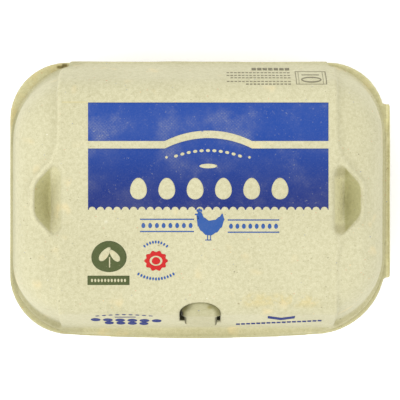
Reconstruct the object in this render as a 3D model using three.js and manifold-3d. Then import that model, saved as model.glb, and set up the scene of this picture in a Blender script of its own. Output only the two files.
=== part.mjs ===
// A shut six-egg carton of moulded paper pulp, with its lid locked down on its tray.
// Millimetres. +X runs along the hinge, +Y points to the hinge at the back, +Z points up.
// The origin is on the ground, under the middle of the carton's whole outline.
import * as THREE from "three";
import { mergeVertices } from "three/addons/utils/BufferGeometryUtils.js";
import { ConvexGeometry } from "three/addons/geometries/ConvexGeometry.js";
import Module from "manifold-3d";

// Driving dimensions of the whole carton
const LENGTH = 152.2;
const DEPTH = 110.7;
const HEIGHT = 68;
const SEAM_HEIGHT = 33;
const GAP = 0.3;
const WELD = 1e-4;
const STRIP_REACH = 1.8;
const HINGE_LIP = 0.35;
const FRONT_BOW = 1.55;
const CORNER_STEPS = 16;
const SIDE_STEPS = 12;

// The tray's rim, walls and cups
const RIM_THICKNESS = 1.8;
const RIM_EDGE = 0.5;
const TRAY_CORNERS = { backLeft: 22.9, backRight: 22.9, frontLeft: 24.4, frontRight: 28.9 };
const BAND = { drop: 11, roll: 5, levels: 6, rimWidth: { end: 1.8, front: 3.6, back: 1.2 }, lean: 2.2 };
const CORE = { drop: 19, roll: 6, levels: 6, rimWidth: { end: 12, front: 13, back: 11 }, lean: 4 };
const COLUMN_PITCH = 47;
const ROW_PITCH = 48;
const CUP_ROW_OFFSET = 1.5;
const FOOT_RADIUS = 16.5;
const FOOT_EDGE = 2;
const CUP_TOP_RADIUS = 24.2;
const CUP_BELLY = 0.4;
const CUP_SIDES = 36;
const CUP_STEPS = 5;

// The lid's rim, walls, flat panel and shoulders
const LID_INSET = 0.5;
const LID_CORNERS = { backLeft: 31.2, backRight: 28, frontLeft: 28.6, frontRight: 31.4 };
const LID_RIM_WIDTH = { end: 1.2, front: 2.7, back: 0.2 };
const LID_RIM_THICKNESS = 1.9;
const END_LEAN = 0.8;
const SHOULDER_WIDTH = 20;
const SHOULDER_LEVELS = 12;
const SHOULDER_STEP = 0.8;
const ROLL_POWER = 3.5;
const LOBE_VALLEY = 1.1;
const LOBE_VALLEY_WIDTH = 17;
const PANEL_HALF_LENGTH = 54.35;
const PANEL_TAPER = 2;
const FRONT_FOLD = { y: -39.9, radius: 5, lean: 12 };
const BACK_FOLD = { y: 38.7, radius: 9, lean: 16 };
const FOLD_STEPS = 9;

// The finger dimple in each end of the lid, from the body's middle: its outer edge is straight,
// then turns and slants in to a tip at each side
const DIMPLE = { reach: 63.4, flat: 5.9, turn: 3.2, tip: 55.8, halfWidth: 13.9, inner: 52.5, steps: 5 };
const DIMPLE_VALLEY = { reach: 57.8, halfWidth: 6.2, bend: 0.3, rise: 1.8 };
const DIMPLE_DEPTH = 11;
const DIMPLE_LIP_DROP = 3;
const WEDGE_OVERSHOOT = 1.6;
const COLLAR_WIDTH = 1.9;
const COLLAR_HALF_WIDTH = 28;

// The lock: an arched hole in the fold of the lid's front wall, and the tray's button in it
const LOCK = { halfWidth: 7.9, backY: -39.6, springY: -43.8, leftSill: 50.2, rightSill: 46.9, curve: 16 };
const BUTTON = { top: 67.1, steps: 5, curve: 10 };
const BUTTON_HEAD = { x: 0.35, halfWidth: 7.1, frontY: -44.9, ease: 1.7, low: 57, lean: 0 };
const BUTTON_NECK = { x: 0.3, halfWidth: 5.7, frontY: -45.3, ease: 2.2, low: 46, lean: 13.5 };

// The fold along the back, the slot off its left end, and the torn strip at the right end
const HINGE = { from: -53, to: 52, edge: 1.1, rise: 6.2, flare: 2.64, depth: 4, taper: 1.4 };
const SLOT = { from: -56.3, to: -52.9, y: 53.05, rise: 0.9, width: 0.75, depth: 6 };
const STRIP = { from: -31.1, to: 38.4, low: 29.6, bar: 0.75, pad: 6.4, ridge: 3.2 };

const PULP = { color: 0xdfdbb6, roughness: 0.95, metalness: 0 };
const PULP_SHADE = { color: 0xc7c396, roughness: 0.95, metalness: 0 };
const PULP_LOCK = { color: 0xcdcaa1, roughness: 0.95, metalness: 0 };

const BODY_LEFT = -LENGTH / 2;
const BODY_RIGHT = LENGTH / 2 - STRIP_REACH;
const BODY_MIDDLE = (BODY_LEFT + BODY_RIGHT) / 2;
const LID_BASE = SEAM_HEIGHT + GAP;
const LID_FOOT = LID_BASE + LID_RIM_THICKNESS / 2;

// Turns a section drawn in Y and Z, and extruded, so that it runs along X.
const ALONG_X = new THREE.Matrix4().makeBasis(
  new THREE.Vector3(0, 1, 0),
  new THREE.Vector3(0, 0, 1),
  new THREE.Vector3(1, 0, 0),
);

const wasm = await Module();
wasm.setup();

// Turns a closed geometry into a solid that can be joined and cut.
function toSolid(geometry) {
  const bare = geometry.clone();
  bare.deleteAttribute("normal");
  bare.deleteAttribute("uv");
  const merged = mergeVertices(bare, WELD);
  return new wasm.Manifold(new wasm.Mesh({
    numProp: 3,
    vertProperties: new Float32Array(merged.attributes.position.array),
    triVerts: new Uint32Array(merged.index.array),
  }));
}

// Turns a solid back into a named mesh with a pulp finish.
function toMesh(name, solid, finish) {
  const { vertProperties, triVerts } = solid.getMesh();
  const geometry = new THREE.BufferGeometry();
  geometry.setAttribute("position", new THREE.BufferAttribute(new Float32Array(vertProperties), 3));
  geometry.setIndex(new THREE.BufferAttribute(new Uint32Array(triVerts), 1));
  geometry.computeVertexNormals();
  const mesh = new THREE.Mesh(geometry, new THREE.MeshStandardMaterial(finish));
  mesh.name = name;
  return mesh;
}

// The rounded outline seen from above, anticlockwise, with the outward normal at each point.
// The front edge bows out in its middle.
function outline(inset, corners, bow) {
  const left = BODY_LEFT + inset;
  const right = BODY_RIGHT - inset;
  const back = DEPTH / 2 - HINGE_LIP - inset;
  const front = -DEPTH / 2 + FRONT_BOW + inset;
  const { backLeft, backRight, frontLeft, frontRight } = corners;
  const quarter = Math.PI / 2;
  const shape = new THREE.Shape();
  shape.moveTo(left + frontLeft, front);
  shape.quadraticCurveTo(0, front - 2 * bow, right - frontRight, front);
  shape.absarc(right - frontRight, front + frontRight, frontRight, -quarter, 0);
  shape.lineTo(right, back - backRight);
  shape.absarc(right - backRight, back - backRight, backRight, 0, quarter);
  shape.lineTo(left + backLeft, back);
  shape.absarc(left + backLeft, back - backLeft, backLeft, quarter, 2 * quarter);
  shape.lineTo(left, front + frontLeft);
  shape.absarc(left + frontLeft, front + frontLeft, frontLeft, 2 * quarter, 3 * quarter);
  const edge = [];
  for (const curve of shape.curves.filter((piece) => piece.getLength() > GAP)) {
    const steps = curve instanceof THREE.EllipseCurve ? CORNER_STEPS : SIDE_STEPS;
    for (let step = 0; step < steps; step += 1) {
      const along = curve.getTangent(step / steps);
      const normal = new THREE.Vector2(along.y, -along.x);
      edge.push({ point: curve.getPoint(step / steps), normal });
    }
  }
  return edge;
}

// Blends a width for the ends, the front and the back by the way an edge faces.
function widthFacing(normal, widths) {
  const side = normal.y < 0 ? widths.front : widths.back;
  return widths.end * normal.x ** 2 + side * normal.y ** 2;
}

// One ring of a loft: the outline moved inwards by an amount for each point, at one height.
function ring(edge, height, inset) {
  return edge.map(({ point, normal }) => {
    const amount = typeof inset === "function" ? inset(normal) : inset;
    return new THREE.Vector3(point.x - normal.x * amount, point.y - normal.y * amount, height);
  });
}

// A closed solid through rings of equal count, stacked upwards and capped at both ends.
function loft(rings) {
  const count = rings[0].length;
  const vertices = rings.flat();
  const middles = [rings[0], rings.at(-1)].map((loop) => {
    const sum = loop.reduce((total, point) => total.add(point), new THREE.Vector3());
    return sum.divideScalar(count);
  });
  const positions = [...vertices, ...middles].flatMap((point) => point.toArray());
  const bottom = vertices.length;
  const top = bottom + 1;
  const lastRing = (rings.length - 1) * count;
  const index = [];
  for (let i = 0; i < count; i += 1) {
    const next = (i + 1) % count;
    index.push(bottom, next, i, top, lastRing + i, lastRing + next);
    for (let level = 0; level < rings.length - 1; level += 1) {
      const low = level * count;
      const high = low + count;
      index.push(low + i, low + next, high + next, low + i, high + next, high + i);
    }
  }
  const geometry = new THREE.BufferGeometry();
  geometry.setAttribute("position", new THREE.Float32BufferAttribute(positions, 3));
  geometry.setIndex(index);
  return toSolid(geometry);
}

// A box from its lowest and highest corners.
function box(low, high) {
  const size = high.map((value, axis) => value - low[axis]);
  const middle = high.map((value, axis) => (value + low[axis]) / 2);
  return toSolid(new THREE.BoxGeometry(...size).translate(...middle));
}

// A flat plate of the outline's shape with both of its outer edges eased.
function rimPlate(edge, low, high) {
  return loft([
    ring(edge, low, RIM_EDGE),
    ring(edge, low + RIM_EDGE, 0),
    ring(edge, high - RIM_EDGE, 0),
    ring(edge, high, RIM_EDGE),
  ]);
}

// How far a rolled edge has climbed and moved inwards, from 0 to 1, at one level of a loft.
function rollAt(level, levels) {
  const turn = (level / levels) * (Math.PI / 2);
  const power = 2 / ROLL_POWER;
  return { climb: Math.sin(turn) ** power, inward: 1 - Math.max(Math.cos(turn), 0) ** power };
}

// How far a leaning wall with a rounded fold at its top has moved inwards at a height.
function foldInset(fold, foot, height, top) {
  const turn = THREE.MathUtils.degToRad(90 - fold.lean);
  const drop = top - height;
  const foldDrop = fold.radius * (1 - Math.cos(turn));
  if (drop > foldDrop) return (height - foot) / Math.tan(turn);
  const across = Math.sqrt(fold.radius ** 2 - (fold.radius - drop) ** 2);
  return wallRun(fold, foot, top) - across;
}

// How far a wall's foot stands out from the start of its fold.
function wallRun(fold, foot, top) {
  const turn = THREE.MathUtils.degToRad(90 - fold.lean);
  const wallTop = top - fold.radius * (1 - Math.cos(turn));
  return fold.radius * Math.sin(turn) + (wallTop - foot) / Math.tan(turn);
}

// The shouldered body that runs under the whole lid, with a dip between the lobes at each end.
function shoulders(edge) {
  const top = HEIGHT - SHOULDER_STEP;
  const rings = [];
  for (let level = 0; level <= SHOULDER_LEVELS; level += 1) {
    const { climb, inward } = rollAt(level, SHOULDER_LEVELS);
    const height = LID_FOOT + (top - LID_FOOT) * climb;
    const widths = {
      end: LID_RIM_WIDTH.end + SHOULDER_WIDTH * inward + END_LEAN * climb,
      front: LID_RIM_WIDTH.front + foldInset(FRONT_FOLD, LID_FOOT, height, top),
      back: LID_RIM_WIDTH.back + foldInset(BACK_FOLD, LID_FOOT, height, top),
    };
    const loop = ring(edge, height, (normal) => widthFacing(normal, widths));
    for (const point of loop) {
      point.z -= LOBE_VALLEY * climb * Math.exp(-((point.y / LOBE_VALLEY_WIDTH) ** 2));
    }
    rings.push(loop);
  }
  return loft(rings);
}

// The section of the lid's flat panel with its front and back walls, in Y and Z.
function panelSection() {
  const frontTurn = THREE.MathUtils.degToRad(90 - FRONT_FOLD.lean);
  const backTurn = THREE.MathUtils.degToRad(90 - BACK_FOLD.lean);
  const quarter = Math.PI / 2;
  const shape = new THREE.Shape();
  shape.moveTo(FRONT_FOLD.y - wallRun(FRONT_FOLD, LID_FOOT, HEIGHT), LID_FOOT);
  shape.lineTo(BACK_FOLD.y + wallRun(BACK_FOLD, LID_FOOT, HEIGHT), LID_FOOT);
  const backRadius = BACK_FOLD.radius;
  shape.absarc(BACK_FOLD.y, HEIGHT - backRadius, backRadius, quarter - backTurn, quarter);
  const frontRadius = FRONT_FOLD.radius;
  shape.absarc(FRONT_FOLD.y, HEIGHT - frontRadius, frontRadius, quarter, quarter + frontTurn);
  return shape;
}

// The raised middle of the lid, with a crease at each end of its panel, kept inside the rim.
function panelBlock(edge) {
  const geometry = new THREE.ExtrudeGeometry(panelSection(), {
    depth: 2 * PANEL_HALF_LENGTH,
    bevelEnabled: false,
    curveSegments: FOLD_STEPS,
  });
  geometry.applyMatrix4(ALONG_X);
  geometry.translate(BODY_MIDDLE - PANEL_HALF_LENGTH, 0, 0);
  const bounds = loft([ring(edge, SEAM_HEIGHT, RIM_EDGE), ring(edge, HEIGHT + GAP, PANEL_TAPER)]);
  return toSolid(geometry).intersect(bounds);
}

// Points along a dimple's outer edge on the lid's surface, moved outwards by an amount.
function dimpleEdge(spread) {
  const { reach, flat, turn, tip, halfWidth, steps } = DIMPLE;
  const facing = new THREE.Vector2(halfWidth - flat, reach - tip).normalize();
  const corner = new THREE.Vector2(reach + spread, flat + spread * (1 - facing.x) / facing.y);
  const end = new THREE.Vector2(tip, halfWidth).addScaledVector(facing, spread);
  const slanted = corner.clone().lerp(end, turn / corner.distanceTo(end));
  const path = new THREE.Path();
  path.moveTo(end.x, -end.y);
  path.lineTo(slanted.x, -slanted.y);
  path.quadraticCurveTo(corner.x, -corner.y, corner.x, turn - corner.y);
  path.lineTo(corner.x, corner.y - turn);
  path.quadraticCurveTo(corner.x, corner.y, slanted.x, slanted.y);
  path.lineTo(end.x, end.y);
  return path.getPoints(steps).map(({ x, y }) => {
    const along = Math.max((x - PANEL_HALF_LENGTH) / (reach - PANEL_HALF_LENGTH), 0);
    return new THREE.Vector3(x, y, HEIGHT - THREE.MathUtils.lerp(SHOULDER_STEP, DIMPLE_LIP_DROP, along ** 2));
  });
}

// The low collar that wraps round one dimple, a little way off its edge, and runs into the crease.
function dimpleCollar(side, body) {
  const wrap = dimpleEdge(COLLAR_WIDTH);
  const [start, end] = [wrap[0], wrap.at(-1)];
  const inner = PANEL_HALF_LENGTH - COLLAR_WIDTH;
  const shape = new THREE.Shape();
  shape.moveTo(inner, -COLLAR_HALF_WIDTH);
  shape.lineTo(PANEL_HALF_LENGTH, -COLLAR_HALF_WIDTH);
  shape.quadraticCurveTo(PANEL_HALF_LENGTH, start.y - COLLAR_WIDTH, start.x, start.y);
  for (const point of wrap.slice(1)) shape.lineTo(point.x, point.y);
  shape.quadraticCurveTo(PANEL_HALF_LENGTH, end.y + COLLAR_WIDTH, PANEL_HALF_LENGTH, COLLAR_HALF_WIDTH);
  shape.lineTo(inner, COLLAR_HALF_WIDTH);
  const geometry = new THREE.ExtrudeGeometry(shape, {
    depth: DIMPLE_DEPTH + DIMPLE_LIP_DROP,
    bevelEnabled: false,
    curveSegments: FOLD_STEPS,
  });
  if (side < 0) geometry.rotateZ(Math.PI);
  geometry.translate(BODY_MIDDLE, 0, HEIGHT - DIMPLE_DEPTH);
  return toSolid(geometry).intersect(body.translate([0, 0, SHOULDER_STEP]));
}

// The point of a dimple's curved valley that lies under a point of its mouth.
function valleyUnder(mouth) {
  const { reach, halfWidth, bend, rise } = DIMPLE_VALLEY;
  const along = THREE.MathUtils.clamp(mouth.y / DIMPLE.halfWidth, -1, 1);
  const lift = HEIGHT - DIMPLE_DEPTH + rise * along ** 2;
  return new THREE.Vector3(reach - bend * along ** 2, halfWidth * along, lift);
}

// The wedge that a finger dimple takes out: rounded outside above, closing to a short valley.
function dimpleWedge(side) {
  const mouth = dimpleEdge(0);
  for (const hand of [-1, 1]) {
    const corner = hand * DIMPLE.halfWidth;
    mouth.push(new THREE.Vector3(DIMPLE.inner, corner - hand * COLLAR_WIDTH, HEIGHT));
    mouth.push(new THREE.Vector3(DIMPLE.inner + COLLAR_WIDTH, corner, HEIGHT));
  }
  const valley = mouth.map(valleyUnder);
  const above = mouth.map((point, i) => valley[i].clone().lerp(point, WEDGE_OVERSHOOT));
  const geometry = new ConvexGeometry([...valley, ...above]);
  if (side < 0) geometry.rotateZ(Math.PI);
  return toSolid(geometry.translate(BODY_MIDDLE, 0, 0));
}

// The space in and before the lock's hole, which is an arch as it is seen from above, over its sill.
function lockSpace(inset) {
  const { halfWidth, backY, springY, leftSill, rightSill } = LOCK;
  const half = halfWidth - inset;
  const shape = new THREE.Shape();
  shape.moveTo(-half, -DEPTH / 2);
  shape.lineTo(half, -DEPTH / 2);
  shape.absellipse(0, springY, half, backY - springY - inset, 0, Math.PI, false);
  const depth = HEIGHT + GAP - rightSill;
  const geometry = new THREE.ExtrudeGeometry(shape, {
    depth,
    bevelEnabled: false,
    curveSegments: LOCK.curve,
  });
  const slope = (leftSill - rightSill) / (2 * halfWidth);
  const sill = (leftSill + rightSill) / 2 + inset;
  const space = toSolid(geometry.translate(0, 0, rightSill));
  return space.trimByPlane([slope, 0, 1], sill / Math.hypot(slope, 1));
}

// The dark slot in the tray's rim, just off the left end of the back fold.
function rimSlot() {
  const { from, to, y, rise, width, depth } = SLOT;
  const shape = new THREE.Shape();
  shape.moveTo(from, y);
  shape.lineTo(to, y + rise);
  shape.lineTo(to, y + rise + width);
  shape.lineTo(from + width, y + width);
  const geometry = new THREE.ExtrudeGeometry(shape, { depth: depth + GAP, bevelEnabled: false });
  return toSolid(geometry.translate(0, 0, SEAM_HEIGHT - depth));
}

// The lid: rim, shoulders, raised panel, dimples, and the hole of the lock.
function makeLid() {
  const edge = outline(LID_INSET, LID_CORNERS, FRONT_BOW);
  const body = shoulders(outline(LID_INSET, LID_CORNERS, 0));
  let lid = rimPlate(edge, LID_BASE, LID_BASE + LID_RIM_THICKNESS).add(body).add(panelBlock(edge));
  for (const side of [-1, 1]) lid = lid.add(dimpleCollar(side, body));
  for (const side of [-1, 1]) lid = lid.subtract(dimpleWedge(side));
  return lid.add(hingeFold()).subtract(lockSpace(0));
}

// One egg cup of the tray, from its flat foot up into the body.
function cup(x, y) {
  const top = SEAM_HEIGHT - RIM_THICKNESS;
  const outer = FOOT_RADIUS + FOOT_EDGE;
  const profile = new THREE.Path();
  profile.moveTo(0, 0);
  profile.lineTo(FOOT_RADIUS, 0);
  profile.quadraticCurveTo(outer - FOOT_EDGE / 4, 0, outer, FOOT_EDGE);
  profile.quadraticCurveTo(CUP_TOP_RADIUS, top * CUP_BELLY, CUP_TOP_RADIUS, top);
  profile.lineTo(0, top);
  const geometry = new THREE.LatheGeometry(profile.getPoints(CUP_STEPS), CUP_SIDES);
  return toSolid(geometry.rotateX(Math.PI / 2).translate(x, y, 0));
}

// A wall of the tray, which leans inwards below the rim and rolls under.
function rolledWall(edge, { drop, roll, levels, rimWidth, lean }) {
  const rings = [];
  for (let level = levels; level >= 0; level -= 1) {
    const { climb, inward } = rollAt(level, levels);
    const height = SEAM_HEIGHT - RIM_THICKNESS / 2 - drop * climb;
    const more = roll * inward + lean * climb;
    rings.push(ring(edge, height, (normal) => widthFacing(normal, rimWidth) + more));
  }
  return loft(rings);
}

// The strip left at the right end where a twin carton was torn off: a grooved bar between pads.
function tornStrip() {
  const { from, to, low, bar, pad, ridge } = STRIP;
  const inner = BODY_RIGHT - RIM_EDGE;
  const outer = LENGTH / 2;
  const spans = [[from, from + pad], [to - pad, to], [from + 2 * pad, from + 2 * pad + ridge / 2]];
  spans.push([to - 2 * pad - ridge, to - 2 * pad]);
  let strip = box([inner, from, low], [outer, to, SEAM_HEIGHT - bar]);
  strip = strip.add(box([outer - bar, from, low], [outer, to, SEAM_HEIGHT]));
  for (const [start, end] of spans) {
    strip = strip.add(box([inner, start, low], [outer, end, SEAM_HEIGHT]));
  }
  return strip;
}

// The tray: rim, band, six cups with the core between them, and the torn strip.
function makeTray() {
  const edge = outline(0, TRAY_CORNERS, FRONT_BOW);
  const straight = outline(0, TRAY_CORNERS, 0);
  let tray = rimPlate(edge, SEAM_HEIGHT - RIM_THICKNESS, SEAM_HEIGHT);
  tray = tray.add(rolledWall(straight, BAND)).add(rolledWall(straight, CORE));
  for (const column of [-1, 0, 1]) {
    for (const row of [-1 / 2, 1 / 2]) {
      tray = tray.add(cup(BODY_MIDDLE + column * COLUMN_PITCH, CUP_ROW_OFFSET + row * ROW_PITCH));
    }
  }
  return tray.subtract(rimSlot()).add(tornStrip());
}

// The fold along the back that the lid turns on: its wall flares out to it, and its ends taper off.
function hingeFold() {
  const { from, to, edge, rise, flare, depth, taper } = HINGE;
  const shape = new THREE.Shape();
  shape.moveTo(-depth, LID_BASE);
  shape.lineTo(-HINGE_LIP, LID_BASE);
  shape.quadraticCurveTo(0, LID_BASE, 0, LID_BASE + edge);
  shape.quadraticCurveTo(-edge / 2, LID_BASE + 2 * edge, -flare, LID_BASE + rise);
  shape.lineTo(-depth, LID_BASE + rise);
  const bar = new THREE.ExtrudeGeometry(shape, { depth: to - from, bevelEnabled: false });
  bar.applyMatrix4(ALONG_X).translate(from, DEPTH / 2, 0);
  const plan = new THREE.Shape();
  plan.moveTo(from, 0);
  plan.quadraticCurveTo(from, DEPTH / 2, from + taper, DEPTH / 2 + GAP);
  plan.lineTo(to - taper, DEPTH / 2 + GAP);
  plan.quadraticCurveTo(to, DEPTH / 2, to, 0);
  const bounds = new THREE.ExtrudeGeometry(plan, { depth: HEIGHT, bevelEnabled: false });
  return toSolid(bar).intersect(toSolid(bounds));
}

// One rounded block of the button, whose back follows the arch of the hole.
function buttonBlock({ x, halfWidth, frontY, ease, low, lean }) {
  const { top, steps, curve } = BUTTON;
  const half = halfWidth - ease;
  const front = frontY + ease;
  const back = LOCK.backY - GAP - ease;
  const shape = new THREE.Shape();
  shape.moveTo(-half, front);
  shape.absellipse(0, front, half, back - front, Math.PI, 0, true);
  const depth = top - low - ease;
  const geometry = new THREE.ExtrudeGeometry(shape, {
    depth,
    bevelSize: ease,
    bevelThickness: ease,
    bevelSegments: steps,
    curveSegments: curve,
  });
  const slant = Math.tan(THREE.MathUtils.degToRad(lean));
  const block = toSolid(geometry).translate([0, 0, -depth]).warp((point) => {
    point[1] += slant * point[2];
  });
  return block.translate([x, 0, top - ease]);
}

// The tray's button: a neck that leans with the lid's front wall, under a head that fills the arch.
function makeButton() {
  return buttonBlock(BUTTON_NECK).add(buttonBlock(BUTTON_HEAD)).intersect(lockSpace(GAP));
}

const carton = new THREE.Group();
carton.add(toMesh("tray", makeTray(), PULP_SHADE));
carton.add(toMesh("lid", makeLid(), PULP));
carton.add(toMesh("lock_button", makeButton(), PULP_LOCK));

export default carton;
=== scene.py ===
"""Dresses a shut egg carton of moulded pulp: its soft skin, its printed lid, its lock and its studio.

Everything is in metres in the carton's own frame: X along the hinge, Y towards the hinge, Z up.
"""
import logging
import math
from dataclasses import dataclass
from enum import Enum, IntEnum
from typing import Callable, Sequence

import bpy
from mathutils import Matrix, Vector


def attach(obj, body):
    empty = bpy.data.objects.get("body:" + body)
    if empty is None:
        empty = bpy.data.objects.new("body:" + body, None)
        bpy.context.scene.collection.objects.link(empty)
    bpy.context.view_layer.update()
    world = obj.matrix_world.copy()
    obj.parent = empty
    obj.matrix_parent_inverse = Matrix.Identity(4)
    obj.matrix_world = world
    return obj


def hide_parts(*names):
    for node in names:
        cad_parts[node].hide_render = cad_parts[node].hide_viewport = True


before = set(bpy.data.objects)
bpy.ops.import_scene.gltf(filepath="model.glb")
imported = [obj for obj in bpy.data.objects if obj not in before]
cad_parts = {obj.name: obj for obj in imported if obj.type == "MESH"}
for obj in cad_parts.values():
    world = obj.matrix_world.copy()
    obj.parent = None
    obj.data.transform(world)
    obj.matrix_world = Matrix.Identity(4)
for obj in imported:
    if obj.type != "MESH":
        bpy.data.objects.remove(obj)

LOG = logging.getLogger("egg_carton")
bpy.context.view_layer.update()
MM = 0.001
BODY_SHIFT = 0.9 * MM
DRAWING_HEIGHT = 90.0 * MM
WELD = 0.002 * MM
FAR = 1000.0
Point = tuple[float, float]
Colour = tuple[float, float, float]
Rule = Callable[[Vector], float]
Rows = tuple[tuple[float, ...], ...]
ALL: Point = (-FAR, FAR)


class Facing(Enum):
    """The side of the lid that a print lies on, by the height at which its pixels are read."""

    PANEL = 68.0 * MM
    WALL = 56.0 * MM


class Layer(Enum):
    """How far above the pulp an ink lies, so that a later ink covers an earlier one."""

    FIRST = 0.05 * MM
    SECOND = 0.09 * MM


class Side(IntEnum):
    """The end of the carton that something belongs to, as the sign of X."""

    LEFT = -1
    BOTH = 0
    RIGHT = 1


@dataclass(frozen=True)
class PhotoView:
    """The photograph's camera, straight above the carton, and its pixels as places.

    Attributes:
        image_px: The side of the square picture.
        rim_height: The height of the carton's rim, where the scale is known.
        rim_scale: Metres to a pixel at the rim.
        camera_height: The camera's height over the table.
        sensor: The camera's sensor width in millimetres.
    """

    image_px: float = 400.0
    rim_height: float = 33.0 * MM
    rim_scale: float = 0.4 * MM
    camera_height: float = 1.1
    sensor: float = 36.0

    def scale(self, height: float) -> float:
        """Metres to a pixel at a height over the table."""
        reach = self.camera_height - self.rim_height
        return self.rim_scale * (self.camera_height - height) / reach

    def place(self, px: float, py: float, height: float) -> Vector:
        """The place that a pixel shows at a height over the table."""
        scale = self.scale(height)
        middle = self.image_px / 2
        return Vector(((px - middle) * scale, (middle - py) * scale, height))

    def add_camera(self) -> None:
        """Adds the camera that looks straight down and makes it the scene's own."""
        bpy.ops.object.camera_add(location=(0, 0, self.camera_height), rotation=(0, 0, 0))
        camera = bpy.context.object
        camera.name = "camera_above"
        width = self.rim_scale * self.image_px
        camera.data.sensor_width = self.sensor
        camera.data.lens = self.sensor * (self.camera_height - self.rim_height) / width
        camera.data.clip_end = 10.0
        bpy.context.scene.camera = camera


VIEW = PhotoView()


class Bench:
    """Small habits of modelling: what is picked, what it weighs, and finishing with modifiers."""

    @staticmethod
    def clear() -> None:
        """Deselects everything, so that an operator acts on nothing old."""
        for other in list(bpy.context.selected_objects):
            other.select_set(False)

    @classmethod
    def pick(cls, piece: bpy.types.Object) -> None:
        """Deselects everything, then selects one piece and makes it active."""
        cls.clear()
        piece.select_set(True)
        bpy.context.view_layer.objects.active = piece

    @classmethod
    def edit(cls, piece: bpy.types.Object, change: Callable[..., object], **settings: object) -> None:
        """Picks a piece and runs one of edit mode's operators on the whole of its mesh."""
        cls.pick(piece)
        bpy.ops.object.mode_set(mode="EDIT")
        bpy.ops.mesh.select_all(action="SELECT")
        change(**settings)
        bpy.ops.object.mode_set(mode="OBJECT")

    @classmethod
    def modify(cls, piece: bpy.types.Object, kind: str, **settings: object) -> None:
        """Adds a modifier to a piece and applies it.

        Args:
            piece: The piece to change.
            kind: The modifier's type.
            settings: The modifier's own values.
        """
        cls.pick(piece)
        modifier = piece.modifiers.new(kind.lower(), kind)
        for name, value in settings.items():
            setattr(modifier, name, value)
        bpy.ops.object.modifier_apply(modifier=modifier.name)

    @staticmethod
    def weigh(piece: bpy.types.Object, name: str, rule: Rule) -> str:
        """Makes a vertex group whose weights follow a rule of place.

        Args:
            piece: The piece to weigh.
            name: The group's name.
            rule: Gives a weight from 0 to 1 for a point.

        Returns:
            The group's name.
        """
        group = piece.vertex_groups.new(name=name)
        steps = 20
        levels: dict[int, list[int]] = {}
        for vertex in piece.data.vertices:
            levels.setdefault(round(rule(vertex.co) * steps), []).append(vertex.index)
        for level, indices in levels.items():
            group.add(indices, level / steps, "REPLACE")
        return group.name

    @classmethod
    def join(cls, pieces: Sequence[bpy.types.Object], name: str) -> bpy.types.Object:
        """Joins pieces into one and names it."""
        cls.clear()
        for piece in pieces:
            piece.select_set(True)
        bpy.context.view_layer.objects.active = pieces[0]
        bpy.ops.object.join()
        joined = bpy.context.object
        joined.name = name
        joined.data.name = name
        return joined

    @staticmethod
    def store(piece: bpy.types.Object, name: str, rule: Rule) -> None:
        """Stores a value under a name at each of a piece's points, by a rule of place."""
        layer = piece.data.attributes.new(name, "FLOAT", "POINT")
        layer.data.foreach_set("value", [rule(vertex.co) for vertex in piece.data.vertices])

    @classmethod
    def smooth(cls, piece: bpy.types.Object) -> None:
        """Shades a piece smooth all over."""
        cls.pick(piece)
        bpy.ops.object.shade_smooth()


def over(limit: float) -> Point:
    """Everything beyond a limit, for a tint's reach."""
    return limit, FAR


def under(limit: float) -> Point:
    """Everything short of a limit, for a tint's reach."""
    return -FAR, limit


def curve(points: Rows, place: float) -> float:
    """The height of a smooth curve through points, at a place along it."""
    for (x0, y0), (x1, y1) in zip(points, points[1:]):
        if place <= x1:
            return y0 + (y1 - y0) * ramp(place, x0, x1)
    return points[-1][1]


def ramp(value: float, start: float, end: float) -> float:
    """Rises smoothly from 0 at start to 1 at end, or falls where start is the larger."""
    share = min(max((value - start) / (end - start), 0.0), 1.0)
    return share * share * (3 - 2 * share)


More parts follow.
